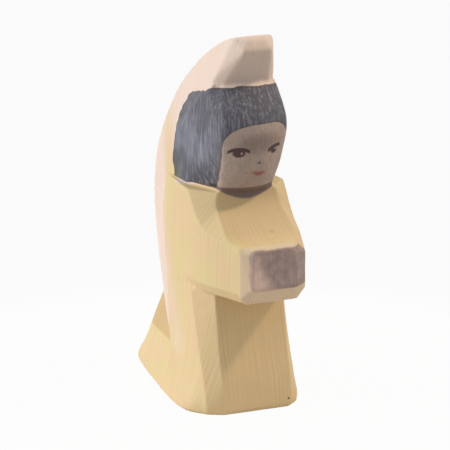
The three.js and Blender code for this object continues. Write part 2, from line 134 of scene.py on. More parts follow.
class ShaderTree:
    """The nodes of one material or of the world."""

    def __init__(self, tree: bpy.types.NodeTree) -> None:
        """Starts with an empty tree."""
        self.tree = tree
        tree.nodes.clear()

    def add(self, kind: str, inputs: dict[int | str, Feed], **settings: object) -> Node:
        """Adds a node, sets it and links what feeds it.

        Args:
            kind: Node type without its ShaderNode prefix.
            inputs: What goes into each socket, by its name or, where names repeat, its number: a constant,
                a socket, or a node, which gives its first output in use. From and To take a pair, for the
                two ends of a range.
            settings: Properties of the node.

        Returns:
            The new node.
        """
        node = self.tree.nodes.new("ShaderNode" + kind)
        for name, value in settings.items():
            setattr(node, name, value)
        in_use = {socket.name: socket for socket in node.inputs if socket.enabled}
        feeds: dict[int | str, Feed] = {}
        for key, feed in inputs.items():
            if key in ("From", "To"):
                feeds[f"{key} Min"], feeds[f"{key} Max"] = feed
            else:
                feeds[key] = feed
        for key, feed in feeds.items():
            socket = in_use[key] if isinstance(key, str) else node.inputs[key]
            if isinstance(feed, Node):
                feed = next(output for output in feed.outputs if output.enabled)
            if isinstance(feed, bpy.types.NodeSocket):
                self.tree.links.new(feed, socket)
            else:
                socket.default_value = feed
        return node

    def seen(self) -> Feed:
        """Tells the rays that show the background, also mirrored or through glass, from the others.

        Returns:
            1 on those rays and 0 on others.
        """
        rays = self.add("LightPath", {}).outputs
        seen = rays["Is Camera Ray"]
        for kind in ("Is Glossy Ray", "Is Transmission Ray"):
            seen = self.add("Math", {0: seen, 1: rays[kind]}, operation="MAXIMUM")
        return seen


class PaintTree(ShaderTree):
    """One material's nodes, with the figure's own millimetres as their space."""

    def __init__(self, name: str, axis: Axis) -> None:
        """Starts a material with the places and directions that paint is laid by.

        Args:
            name: Name of the material.
            axis: The body's axis in the frame.
        """
        self.material = bpy.data.materials.new(name)
        self.material.use_nodes = True
        super().__init__(self.material.node_tree)
        frame = self.add("TexCoord", {}).outputs
        self.point = self.add("Mapping", {
            "Vector": frame["Object"], "Location": (-axis.x / MM, -axis.y / MM, 0.0),
            "Scale": (1 / MM, 1 / MM, 1 / MM)})
        self.x, self.y, self.z = self.add("SeparateXYZ", {0: self.point}).outputs
        self.side = self.add("VectorMath", {0: self.point, 1: (0.0, 1.0, 1.0)}, operation="MULTIPLY")
        self.front = self.add("VectorMath", {0: self.point, 1: (1.0, 0.0, 1.0)}, operation="MULTIPLY")
        turned = self.add("SeparateXYZ", {0: frame["Normal"]}).outputs
        self.facing = self.add("Math", {0: turned[1], 1: -1.0}, operation="MULTIPLY")
        self.sideways = self.add("Math", {0: turned[0]}, operation="ABSOLUTE")

    def off_oval(self, oval: Oval) -> Node:
        """Measures how far a point of the front lies from an oval's middle: 0 there and 1 on the oval.

        Args:
            oval: The oval.

        Returns:
            The distance as a share of the oval's half-sizes.
        """
        local = self.add("Mapping", {
            "Vector": self.front, "Location": (oval.x, 0.0, oval.z),
            "Scale": (oval.half_width, 1.0, oval.half_height)}, vector_type="TEXTURE")
        return self.add("VectorMath", {0: local}, operation="LENGTH")

    def streaks(self, point: Feed, size: tuple[float, float, float], turn: tuple[float, float, float],
                detail: float, roughness: float) -> Node:
        """Draws noise out into streaks.

        Args:
            point: Place to draw at, in millimetres.
            size: A streak's size along each axis, in millimetres.
            turn: How far the streaks are turned about each axis.
            detail: How many finer layers the noise has.
            roughness: How much the finer layers show.

        Returns:
            The noise.
        """
        along = self.add("Mapping", {
            "Vector": point, "Rotation": turn, "Scale": tuple(1 / length for length in size)})
        return self.add("TexNoise", {"Vector": along, "Scale": 1.0, "Detail": detail, "Roughness": roughness})

    def wash(self, under: Feed, ground: Feed, paint: Feed, strength: float, inside: Feed,
             edge: tuple[float, float]) -> Node:
        """Lays a transparent wash inside a border.

        Args:
            under: Colour outside the border.
            ground: Colour that the wash is laid on.
            paint: Colour of the wash.
            strength: Share of the wash, 1 for the whole of it.
            inside: Millimetres inside the border, below zero outside it.
            edge: Where the border's soft edge starts and ends, in the same millimetres.

        Returns:
            The colour with the wash on it.
        """
        covered = self.add("MapRange", {
            "Value": inside, "From": edge}, interpolation_type="SMOOTHSTEP")
        soaked = self.add("Mix", {"Factor": strength, "A": ground, "B": paint},
                          data_type="RGBA", blend_type="MULTIPLY")
        return self.add("Mix", {"Factor": covered, "A": under, "B": soaked}, data_type="RGBA")


@dataclass(frozen=True)
class Maple:
    """Hard maple, sawn, carved and sanded, then oiled: pale cream with faint growth lines and finer fibres.

    The lines run up the figure on every face, because the board's length is its height.
    """

    pale: str = "#FAE6DA"
    ring: str = "#F0D6C3"
    fibre: str = "#F1E5D6"
    ring_mm: float = 1.5
    fibre_mm: float = 0.4
    fibre_run_mm: float = 40.0
    lean: float = math.radians(2)
    side_face: tuple[float, float] = (0.43, 0.45)
    patch_mm: float = 9.0
    ior: float = 1.46
    grain_depth_mm: float = 0.05
    grain_strength: float = 0.25

    def lay(self, tree: PaintTree) -> tuple[Node, Node]:
        """Lays the bare wood.

        Args:
            tree: Material to lay it in.

        Returns:
            The wood's colour and the height of its grain.
        """
        turn = tree.add("MapRange", {"Value": tree.sideways, "From": self.side_face})
        across = tree.add("Mix", {"Factor": turn, "A": tree.x, "B": tree.y}, data_type="FLOAT")
        face = tree.add("CombineXYZ", {"X": across, "Y": turn, "Z": tree.z})
        board = tree.add("Mapping", {"Vector": face, "Rotation": (0.0, self.lean, 0.0)})
        # A band wave repeats every 2 pi / 20 of its own length unit
        lines = tree.add("TexWave", {
            "Vector": board, "Scale": math.tau / 20 / self.ring_mm, "Distortion": 3.0,
            "Detail": 2.0, "Detail Scale": 0.15, "Detail Roughness": 0.55,
        }, wave_type="BANDS", bands_direction="X", wave_profile="SAW").outputs["Fac"]
        late_wood = tree.add("MapRange", {"Value": lines, "From": (0.5, 1.0)})
        patch = tree.add("TexNoise", {"Vector": tree.point, "Scale": 1 / self.patch_mm, "Detail": 2.0})
        strength = tree.add("MapRange", {"Value": patch, "From": (0.3, 0.7), "To": (0.1, 0.55)})
        line_share = tree.add("Math", {0: late_wood, 1: strength}, operation="MULTIPLY")
        fibre_size = (self.fibre_mm, 1.0, self.fibre_run_mm)
        fibre = tree.streaks(board, fibre_size, (0.0, 0.0, 0.0), detail=3.0, roughness=0.6)
        fibre_share = tree.add("MapRange", {"Value": fibre, "From": (0.35, 0.7), "To": (0.0, 0.6)})
        lined = tree.add("Mix", {
            "Factor": line_share, "A": linear(self.pale), "B": linear(self.ring)}, data_type="RGBA")
        colour = tree.add("Mix", {"Factor": fibre_share, "A": lined, "B": linear(self.fibre)},
                          data_type="RGBA", blend_type="MULTIPLY")
        return colour, fibre


@dataclass(frozen=True)
class GownBorder:
    """The gown's border on the wings seen from the side: a long flat arc, by its centre and radius."""

    y: float = -257.0
    z: float = 162.0
    radius: float = 300.0


@dataclass(frozen=True)
class GownWash:
    """Yellow watercolour brushed thin on the gown: the grain shows through, and it thins towards the wings.

    Its border on the wings is crisp at the train and faded out behind the hair.
    """

    lemon: str = "#F0F1C0"
    peach: str = "#F4EBC6"
    # Painted shade: a deeper tint for the faces that turn to the front
    front: str = "#E9E2B8"
    # Painted shade: a darker tint for the hollow beside the train, behind the wing's edge
    recess_shade: str = "#E0D4A6"
    recess_level: float = 17.3
    recess_slope: float = 0.025
    recess_from: float = 18.0
    recess_edge: float = 0.3
    skin_share: float = 0.6
    patch_mm: float = 11.0
    border: GownBorder = GownBorder()
    border_soft: float = 0.5
    whole_below: float = 70.0
    whole_reach: float = 60.0
    fade_soft: float = 3.5
    fade_low: float = 66.0
    fade_high: float = 92.0
    fade_from: float = 13.0
    fade_run: float = 20.0
    fade_rise: float = 2.5
    fade_edge: float = 0.6
    thin_width: float = 9.0
    thin_share: float = 0.62
    thin_above: float = 20.0
    foot_level: float = 17.0
    foot_from: float = 48.0
    foot_reach: float = 9.0
    high_from: float = 58.0
    high_level: float = 72.0
    high_back: float = 3.0

    def inside(self, tree: PaintTree) -> Node:
        """Measures how far a point lies inside the border on the wings.

        Args:
            tree: Material to measure in.

        Returns:
            Millimetres inside the border, below zero outside it.
        """
        centre = (0.0, self.border.y, self.border.z)
        reach = tree.add("VectorMath", {0: tree.side, 1: centre}, operation="DISTANCE")
        return tree.add("Math", {0: self.border.radius, 1: reach}, operation="SUBTRACT")

    def covered(self, tree: PaintTree, inside: Node, wander: Node, slot: Slot) -> Node:
        """Finds where the wash lies, up to its hand-drawn border.

        Args:
            tree: Material to measure in.
            inside: Millimetres inside the plain border.
            wander: Hand's wander of the brush, in millimetres.
            slot: The finish; all but the bare wings lie wholly under the wash low down.

        Returns:
            1 under the wash and 0 outside it.
        """
        shifts = [(self.whole_below, self.fade_low, self.whole_reach)]
        if slot is Slot.BARE:
            shifts = [
                (self.foot_from, self.foot_level, self.foot_reach),
                (self.high_from, self.high_level, -self.high_back),
            ]
        drawn = tree.add("Math", {0: inside, 1: wander}, operation="ADD")
        for start, stop, reach in shifts:
            shift = tree.add("MapRange", {"Value": tree.z, "From": (start, stop), "To": (0.0, reach)})
            drawn = tree.add("Math", {0: drawn, 1: shift}, operation="ADD")
        soft = tree.add("MapRange", {
            "Value": tree.z, "From": (self.fade_low, self.fade_high),
            "To": (self.border_soft, self.fade_soft)})
        soft_out = tree.add("Math", {0: soft, 1: -1.0}, operation="MULTIPLY")
        return tree.add("MapRange", {
            "Value": drawn, "From": (soft_out, soft)}, interpolation_type="SMOOTHSTEP")

    def thickness(self, tree: PaintTree, inside: Node, over_shoulder: Node) -> Node:
        """Thins the wash towards its border and fades it out behind the hair.

        Args:
            tree: Material to measure in.
            inside: Millimetres inside the plain border.
            over_shoulder: Millimetres above the hair's lower border.

        Returns:
            Share of the whole wash.
        """
        past_foot = tree.add("MapRange", {
            "Value": tree.z, "From": (0.0, self.thin_above), "To": (3 * self.thin_width, 0.0)})
        away = tree.add("Math", {0: inside}, operation="ABSOLUTE")
        away = tree.add("Math", {0: away, 1: past_foot}, operation="ADD")
        thick = tree.add("MapRange", {
            "Value": away, "From": (0.0, self.thin_width), "To": (self.thin_share, 1.0),
        }, interpolation_type="SMOOTHSTEP")
        behind = tree.add("MapRange", {
            "Value": tree.y, "From": (self.fade_from, self.fade_from + self.fade_run),
            "To": (0.0, self.fade_run * self.fade_rise)})
        level = tree.add("Math", {0: behind, 1: over_shoulder}, operation="SUBTRACT")
        room = tree.add("Math", {0: behind, 1: self.fade_edge}, operation="ADD")
        below = tree.add("MapRange", {"Value": level, "From": (0.0, room)}, interpolation_type="SMOOTHSTEP")
        return tree.add("Math", {0: thick, 1: below}, operation="MULTIPLY")

    def tint(self, tree: PaintTree, inside: Node, slot: Slot) -> Node:
        """Mixes the wash's colour: lemon to peach, with painted shade on the front and beside the train.

        Args:
            tree: Material to mix it in.
            inside: Millimetres inside the plain border.
            slot: The finish; only the gown has the painted shade beside the train.

        Returns:
            The colour.
        """
        pooling = tree.add("TexNoise", {"Vector": tree.point, "Scale": 1 / self.patch_mm, "Detail": 3.0})
        tone = tree.add("MapRange", {"Value": pooling, "From": SPREAD})
        tint = tree.add("Mix", {
            "Factor": tone, "A": linear(self.lemon), "B": linear(self.peach)}, data_type="RGBA")
        # Painted shade: faces turned to the front take the deeper front tint
        ahead = tree.add("MapRange", {"Value": tree.facing, "From": (0.4, 0.8)})
        tint = tree.add("Mix", {"Factor": ahead, "A": tint, "B": linear(self.front)}, data_type="RGBA")
        if slot is not Slot.GOWN:
            return tint
        # Painted shade in the hollow beside the train, on its side faces behind the wing's edge
        edge = tree.add("Math", {
            0: tree.y, 1: self.recess_slope, 2: self.recess_level}, operation="MULTIPLY_ADD")
        over = tree.add("Math", {0: tree.z, 1: edge}, operation="SUBTRACT")
        behind = tree.add("Math", {0: tree.y, 1: self.recess_from}, operation="SUBTRACT")
        shaded_pocket = tree.add("Math", {0: inside, 1: -1.0}, operation="MULTIPLY")
        for limit in (over, behind):
            shaded_pocket = tree.add("Math", {0: shaded_pocket, 1: limit}, operation="MINIMUM")
        pooled = tree.add("MapRange", {"Value": shaded_pocket, "From": (-self.recess_edge, self.recess_edge)})
        flank = tree.add("MapRange", {"Value": tree.sideways, "From": (0.5, 0.7)})
        pooled = tree.add("Math", {0: pooled, 1: flank}, operation="MULTIPLY")
        return tree.add("Mix", {"Factor": pooled, "A": tint, "B": linear(self.recess_shade)}, data_type="RGBA")

    def lay(self, tree: PaintTree, under: Feed, over_shoulder: Node, wander: Node, slot: Slot) -> Node:
        """Lays the wash over the wood.

        Args:
            tree: Material to lay it in.
            under: Colour below the wash.
            over_shoulder: Millimetres above the hair's lower border.
            wander: Hand's wander of the brush, in millimetres.
            slot: The finish.

        Returns:
            The colour with the wash on it.
        """
        inside = self.inside(tree)
        share = self.covered(tree, inside, wander, slot)
        thick = self.thickness(tree, inside, over_shoulder)
        share = tree.add("Math", {0: share, 1: thick}, operation="MULTIPLY")
        if slot is Slot.SKIN:
            share = tree.add("Math", {0: share, 1: self.skin_share}, operation="MULTIPLY")
        tint = self.tint(tree, inside, slot)
        return tree.add("Mix", {"Factor": share, "A": under, "B": tint},
                        data_type="RGBA", blend_type="MULTIPLY")


@dataclass(frozen=True)
class HairWash:
    """Slate watercolour in several brush strokes: cool grey streaks with wood between and a dark outline."""

    dark: str = "#334764"
    mid: str = "#647998"
    pale: str = "#A9BAD8"
    # Brush paint pooled at the border, and along the crest also a painted shadow of the groove there
    outline: str = "#333136"
    strength: float = 0.93
    streak_mm: float = 0.65
    streak_run_mm: float = 9.0
    stroke_coarse: float = 0.7
    hanging_turn: tuple[float, float, float] = (math.radians(8), math.radians(5), 0.0)
    fringe_turn: tuple[float, float, float] = (0.0, 0.0, math.radians(12))
    stroke_turn: tuple[float, float, float] = (math.radians(-35), math.radians(50), math.radians(20))
    patch_mm: float = 6.25
    pale_level: float = 97.0
    pale_half: float = 3.0
    dark_half: float = 12.0
    back_centre: tuple[float, float, float] = (0.0, -4.5, 92.0)
    back_radius: float = 25.8
    back_from: float = 8.0
    front_run: float = 30.0
    corner: float = 3.0
    low_level: float = 81.8
    low_slope: float = -0.11
    crest_level: float = 116.2
    crest_slope: float = -0.243
    edge: float = 0.2
    outline_width: float = 0.5
    outline_share: float = 0.85

    def over_shoulder(self, tree: PaintTree) -> Node:
        """Measures how far a point lies above the hair's lower border, in millimetres."""
        low = tree.add("Math", {0: tree.y, 1: self.low_slope, 2: self.low_level}, operation="MULTIPLY_ADD")
        return tree.add("Math", {0: tree.z, 1: low}, operation="SUBTRACT")

    def inside(self, tree: PaintTree, face: Node, above: Node, wander: Node) -> Node:
        """Measures how far a point lies inside the hair's painted border.

        Args:
            tree: Material to measure in.
            face: Millimetres inside the face's border.
            above: Millimetres above the hair's lower border.
            wander: Hand's wander of the brush, in millimetres.

        Returns:
            Millimetres inside the hair, below zero outside it.
        """
        reach = tree.add("VectorMath", {0: tree.side, 1: self.back_centre}, operation="DISTANCE")
        front = tree.add("MapRange", {
            "Value": tree.y, "From": (self.back_from, self.back_from - self.front_run),
            "To": (0.0, self.front_run)})
        room = tree.add("Math", {0: front, 1: self.back_radius}, operation="ADD")
        back = tree.add("Math", {0: room, 1: reach}, operation="SUBTRACT")
        crest = tree.add("Math", {
            0: tree.y, 1: self.crest_slope, 2: self.crest_level}, operation="MULTIPLY_ADD")
        under_crest = tree.add("Math", {0: crest, 1: tree.z}, operation="SUBTRACT")
        side = tree.add("Math", {0: back, 1: above, 2: self.corner}, operation="SMOOTH_MIN")
        capped = tree.add("Math", {0: side, 1: under_crest}, operation="MINIMUM")
        drawn = tree.add("Math", {0: capped, 1: wander}, operation="ADD")
        off_face = tree.add("Math", {0: face, 1: -1.0}, operation="MULTIPLY")
        return tree.add("Math", {0: drawn, 1: off_face}, operation="MINIMUM")

    def brushwork(self, tree: PaintTree) -> Node:
        """Finds the pale streaks: hanging at the sides, combed over the fringe, and slanted strokes.

        Args:
            tree: Material to draw them in.

        Returns:
            Share of the pale colour.
        """
        hanging_size = (self.streak_mm, self.streak_mm, self.streak_run_mm)
        fringe_size = (self.streak_mm, self.streak_run_mm, self.streak_run_mm)
        stroke_size = tuple(length / self.stroke_coarse for length in hanging_size)
        hanging = tree.streaks(tree.point, hanging_size, self.hanging_turn, detail=4.0, roughness=0.65)
        fringe = tree.streaks(tree.point, fringe_size, self.fringe_turn, detail=4.0, roughness=0.65)
        strokes = tree.streaks(tree.point, stroke_size, self.stroke_turn, detail=3.0, roughness=0.6)
        turn = tree.add("MapRange", {"Value": tree.sideways, "From": (0.45, 0.85)})
        combed = tree.add("Mix", {"Factor": turn, "A": fringe, "B": hanging}, data_type="FLOAT")
        both = tree.add("Math", {0: combed, 1: strokes}, operation="ADD")
        return tree.add("MapRange", {"Value": both, "From": (0.97, 1.32), "To": (0.0, 0.65)})

    def lay(self, tree: PaintTree, under: Feed, inside: Node) -> Node:
        """Lays the hair's wash, darker towards top and bottom.

        Args:
            tree: Material to lay it in.
            under: Colour below the wash.
            inside: Millimetres inside the hair's border.

        Returns:
            The colour with the hair on it.
        """
        patches = tree.add("TexNoise", {"Vector": tree.point, "Scale": 1 / self.patch_mm, "Detail": 2.0})
        level = tree.add("Math", {0: tree.z, 1: self.pale_level}, operation="SUBTRACT")
        off_level = tree.add("Math", {0: level}, operation="ABSOLUTE")
        ends = tree.add("MapRange", {
            "Value": off_level, "From": (self.pale_half, self.dark_half), "To": (0.12, -0.26)})
        pooled = tree.add("Math", {0: patches, 1: ends}, operation="ADD")
        deep = tree.add("MapRange", {"Value": pooled, "From": SPREAD})
        slate = tree.add("Mix", {
            "Factor": deep, "A": linear(self.dark), "B": linear(self.mid)}, data_type="RGBA")
        light = self.brushwork(tree)
        brushed = tree.add("Mix", {"Factor": light, "A": slate, "B": linear(self.pale)}, data_type="RGBA")
        # The dark outline is brush paint pooled at the border; along the crest it is also a painted shadow of
        # the groove
        rim = tree.add("MapRange", {
            "Value": inside, "From": (0.0, 2 * self.outline_width), "To": (self.outline_share, 0.0)})
        lined = tree.add("Mix", {"Factor": rim, "A": brushed, "B": linear(self.outline)}, data_type="RGBA")
        return tree.wash(under, under, lined, self.strength, inside, (-self.edge, self.edge))


@dataclass(frozen=True)
class Eye:
    """One brushed eye: a lid stroke, bowed and tilted, with the iris under it and a painted highlight left
    bare.
    """

    x: float
    z: float
    tilt: float
    lid_half: float
    lid_rise: float
    iris: Oval
    # Painted highlight: an oval where the dark paint of the iris is left off
    painted_glint: Oval
    lid_thick: float = 0.5
    lid_edge: float = 0.35


@dataclass(frozen=True)
class Dab:
    """One dab of the fine brush: its oval, how much it covers, and how far out it covers so."""

    oval: Oval
    share: float
    core: float


@dataclass(frozen=True)
class SkinWash:
    """Thin brown watercolour on face and hands, mottled by the brush, with features in darker paint."""

    skin: str = "#BBBABD"
    flush: str = "#C9C6C6"
    # Dark brown for the brush flecks, and for the painted shade over the brows
    shade: str = "#87817F"
    neck: str = "#877F86"
    hands: str = "#9C989F"
    hands_light: str = "#F0E6E4"
    hands_edge: str = "#98898F"
    lash: str = "#3F2828"
    lip: str = "#A2605A"
    nose: str = "#5E5245"
    face_strength: float = 0.97
    hands_strength: float = 0.95
    lash_strength: float = 0.94
    edge: float = 0.3
    patch_mm: float = 3.6
    fleck_mm: float = 0.6
    fleck_run_mm: float = 2.2
    face_half: float = 12.3
    face_spring: float = 98.0
    face_rise: float = 8.8
    face_power: float = 3.0
    face_tilt: float = 0.07
    face_back: float = -4.0
    jaw_half: float = 9.0
    jaw_level: float = 68.0
    chin_level: float = 82.8
    chin_slope: float = 0.02
    # Painted shade: a darker patch over the brows and between the eyes
    brow_shade: Oval = Oval(0.8, 100.0, 10.0, 5.0)
    neck_level: float = 77.6
    neck_curve: float = 0.034
    neck_back: float = -5.0
    neck_lap: float = 0.6
    neck_wander: float = 0.4
    neck_edge: tuple[float, float] = (-0.4, 0.5)
    hands_x: tuple[float, float] = (-9.6, 14.6)
    hands_z: tuple[float, float] = (49.8, 64.4)
    hands_corner: float = 2.6
    hands_back: float = -30.8
    hands_wander: float = 0.3
    hands_lit: tuple[float, float, float] = (-0.85, 0.0, -0.5)
    hands_lit_range: tuple[float, float] = (-27.5, -21.0)
    eyes: tuple[Eye, ...] = (
        Eye(x=-6.9, z=96.9, tilt=0.02, lid_half=3.8, lid_rise=1.2,
            iris=Oval(-6.9, 96.6, 2.05, 1.6), painted_glint=Oval(-6.0, 96.5, 0.42, 0.5)),
        Eye(x=6.5, z=97.6, tilt=0.32, lid_half=2.9, lid_rise=0.6,
            iris=Oval(6.3, 97.0, 1.35, 1.4), painted_glint=Oval(7.0, 97.3, 0.4, 0.45)),
    )
    lip_dabs: tuple[Dab, ...] = (
        Dab(Oval(0.6, 93.2, 2.3, 1.3), share=0.16, core=0.3),
        Dab(Oval(0.5, 88.9, 3.6, 1.3), share=0.3, core=0.4),
        Dab(Oval(1.2, 88.2, 1.9, 0.85), share=0.9, core=0.6),
        Dab(Oval(2.6, 88.6, 1.4, 0.5), share=0.75, core=0.6),
        Dab(Oval(-0.7, 88.9, 1.5, 0.5), share=0.6, core=0.6),
    )
    nose_dabs: tuple[Dab, ...] = (Dab(Oval(0.6, 92.6, 0.75, 0.6), share=0.8, core=0.7),)

    def face(self, tree: PaintTree) -> Node:
        """Measures how far a point lies inside the face's border, an arch that narrows to the jaw.

        Args:
            tree: Material to measure in.

        Returns:
            Millimetres inside the face, below zero outside it.
        """
        across = tree.add("Math", {0: tree.x}, operation="ABSOLUTE")
        half = tree.add("MapRange", {
            "Value": tree.z, "From": (self.jaw_level, self.face_spring),
            "To": (self.jaw_half, self.face_half)})
        level = tree.add("Math", {0: tree.x, 1: -self.face_tilt, 2: tree.z}, operation="MULTIPLY_ADD")
        # Over the arch the measure goes on growing, as far as the crest and beyond
        rises = 10.0
        rise = tree.add("MapRange", {
            "Value": level, "From": (self.face_spring, self.face_spring + rises * self.face_rise),
            "To": (0.0, rises)})
        share = tree.add("Math", {0: across, 1: half}, operation="DIVIDE")
        wide = tree.add("Math", {0: share, 1: self.face_power}, operation="POWER")
        high = tree.add("Math", {0: rise, 1: self.face_power}, operation="POWER")
        both = tree.add("Math", {0: wide, 1: high}, operation="ADD")
        ring = tree.add("Math", {0: both, 1: 1 / self.face_power}, operation="POWER")
        arch = tree.add("Math", {0: ring, 1: -self.face_half, 2: self.face_half}, operation="MULTIPLY_ADD")
        ahead = tree.add("Math", {0: self.face_back, 1: tree.y}, operation="SUBTRACT")
        return tree.add("Math", {0: arch, 1: ahead}, operation="MINIMUM")

    def complexion(self, tree: PaintTree) -> Node:
        """Mixes the face's colour, mottled and flecked by the brush, with painted shade over the brows.

        Args:
            tree: Material to mix it in.

        Returns:
            The colour.
        """
        patches = tree.add("TexNoise", {"Vector": tree.point, "Scale": 1 / self.patch_mm, "Detail": 3.0})
        mottle = tree.add("MapRange", {"Value": patches, "From": SPREAD})
        skin = tree.add("Mix", {
            "Factor": mottle, "A": linear(self.skin), "B": linear(self.flush)}, data_type="RGBA")
        fleck_size = (self.fleck_mm, self.fleck_mm, self.fleck_run_mm)
        flecks = tree.streaks(tree.point, fleck_size, (0.0, 0.0, 0.0), detail=3.0, roughness=0.7)
        flecked = tree.add("MapRange", {"Value": flecks, "From": (0.45, 0.75), "To": (0.0, 0.55)})
        # Painted shade over the brows and between the eyes
        shaded = tree.add("MapRange", {
            "Value": tree.off_oval(self.brow_shade), "From": (0.2, 1.15), "To": (0.7, 0.0),
        }, interpolation_type="SMOOTHSTEP")
        for share in (flecked, shaded):
            skin = tree.add("Mix", {"Factor": share, "A": skin, "B": linear(self.shade)}, data_type="RGBA")
        return skin

    def lay_face(self, tree: PaintTree, under: Feed, wood: Feed, face: Node, wander: Node) -> Node:
        """Lays the face, the neck under the chin and the drawn features.

        Args:
            tree: Material to lay them in.
            under: Colour round them.
            wood: Colour of the bare wood that they are laid on.
            face: Millimetres inside the face's border.
            wander: Hand's wander of the brush, in millimetres.

        Returns:
            The colour with the face on it.
        """
        chin = tree.add("Math", {
            0: tree.x, 1: self.chin_slope, 2: self.chin_level}, operation="MULTIPLY_ADD")
        over_chin = tree.add("Math", {0: tree.z, 1: chin}, operation="SUBTRACT")
        on_face = tree.add("Math", {0: face, 1: over_chin}, operation="MINIMUM")
        painted = self.lay_neck(tree, under, wood, over_chin, wander)
        skin = self.complexion(tree)
        painted = tree.wash(painted, wood, skin, self.face_strength, on_face, (-self.edge, self.edge))
        for eye in self.eyes:
            painted = self.draw_eye(tree, painted, eye)
        return self.draw_nose_and_mouth(tree, painted)

    def lay_neck(self, tree: PaintTree, under: Feed, wood: Feed, over_chin: Node, wander: Node) -> Node:
        """Lays the dark neck between the chin and a curved border on the chest.

        Args:
            tree: Material to lay it in.
            under: Colour round it.
            wood: Colour of the bare wood that it is laid on.
            over_chin: Millimetres above the chin line.
            wander: Hand's wander of the brush, in millimetres.

        Returns:
            The colour with the neck on it.
        """
        bow = tree.add("Math", {0: tree.x, 1: tree.x}, operation="MULTIPLY")
        border = tree.add("Math", {
            0: bow, 1: self.neck_curve, 2: self.neck_level}, operation="MULTIPLY_ADD")
        band = tree.add("Math", {0: tree.z, 1: border}, operation="SUBTRACT")
        ahead = tree.add("Math", {0: self.neck_back, 1: tree.y}, operation="SUBTRACT")
        below_chin = tree.add("Math", {0: over_chin, 1: -1.0, 2: self.neck_lap}, operation="MULTIPLY_ADD")
        for limit in (ahead, below_chin):
            band = tree.add("Math", {0: band, 1: limit}, operation="MINIMUM")
        drawn = tree.add("Math", {0: wander, 1: self.neck_wander, 2: band}, operation="MULTIPLY_ADD")
        return tree.wash(under, wood, linear(self.neck), 1.0, drawn, self.neck_edge)

    def draw_eye(self, tree: PaintTree, under: Feed, eye: Eye) -> Node:
        """Draws one eye.

        Args:
            tree: Material to draw it in.
            under: Colour below the stroke.
            eye: The eye's place and sizes.

        Returns:
            The colour with the eye on it.
        """
        local = tree.add("Mapping", {
            "Vector": tree.point, "Location": (eye.x, 0.0, eye.z), "Rotation": (0.0, -eye.tilt, 0.0),
        }, vector_type="TEXTURE")
        across, depth, up = tree.add("SeparateXYZ", {0: local}).outputs
        share = tree.add("Math", {0: across, 1: 1 / eye.lid_half}, operation="MULTIPLY")
        square = tree.add("Math", {0: share, 1: share}, operation="MULTIPLY")
        bow = tree.add("Math", {0: square, 1: eye.lid_rise, 2: -eye.lid_rise}, operation="MULTIPLY_ADD")
        over_lid = tree.add("Math", {0: up, 1: bow}, operation="ADD")
        off_lid = tree.add("Math", {0: over_lid}, operation="ABSOLUTE")
        lid = tree.add("MapRange", {
            "Value": off_lid, "From": (eye.lid_thick, eye.lid_thick + eye.lid_edge), "To": (1.0, 0.0)})
        ends = tree.add("MapRange", {"Value": square, "From": (0.8, 1.1), "To": (1.0, 0.0)})
        lid = tree.add("Math", {0: lid, 1: ends}, operation="MULTIPLY")
        iris, painted_glint = [
            tree.add("MapRange", {"Value": tree.off_oval(oval), "From": (0.85, 1.2), "To": (1.0, 0.0)})
            for oval in (eye.iris, eye.painted_glint)
        ]
        dark = tree.add("Math", {0: lid, 1: iris}, operation="MAXIMUM")
        # A painted highlight: the dark paint is left off inside its oval
        bare = tree.add("Math", {0: painted_glint, 1: -0.8, 2: 1.0}, operation="MULTIPLY_ADD")
        front = tree.add("MapRange", {
            "Value": depth, "From": (self.face_back, self.face_back - 1), "To": (0.0, self.lash_strength)})
        for other in (bare, front):
            dark = tree.add("Math", {0: dark, 1: other}, operation="MULTIPLY")
        return tree.add("Mix", {"Factor": dark, "A": under, "B": linear(self.lash)}, data_type="RGBA")

    def draw_nose_and_mouth(self, tree: PaintTree, under: Feed) -> Node:
        """Draws the mouth as a red stroke with a fuller lower lip, and the nose as one dot over a red tinge.

        Args:
            tree: Material to draw them in.
            under: Colour below the strokes.

        Returns:
            The colour with nose and mouth on it.
        """
        painted = under
        front = tree.add("MapRange", {"Value": tree.y, "From": (self.face_back, self.face_back - 1)})
        for colour, dabs in ((self.lip, self.lip_dabs), (self.nose, self.nose_dabs)):
            for dab in dabs:
                inside = tree.add("MapRange", {
                    "Value": tree.off_oval(dab.oval), "From": (dab.core, 1.15), "To": (dab.share, 0.0)})
                share = tree.add("Math", {0: inside, 1: front}, operation="MULTIPLY")
                painted = tree.add("Mix", {
                    "Factor": share, "A": painted, "B": linear(colour)}, data_type="RGBA")
        return painted

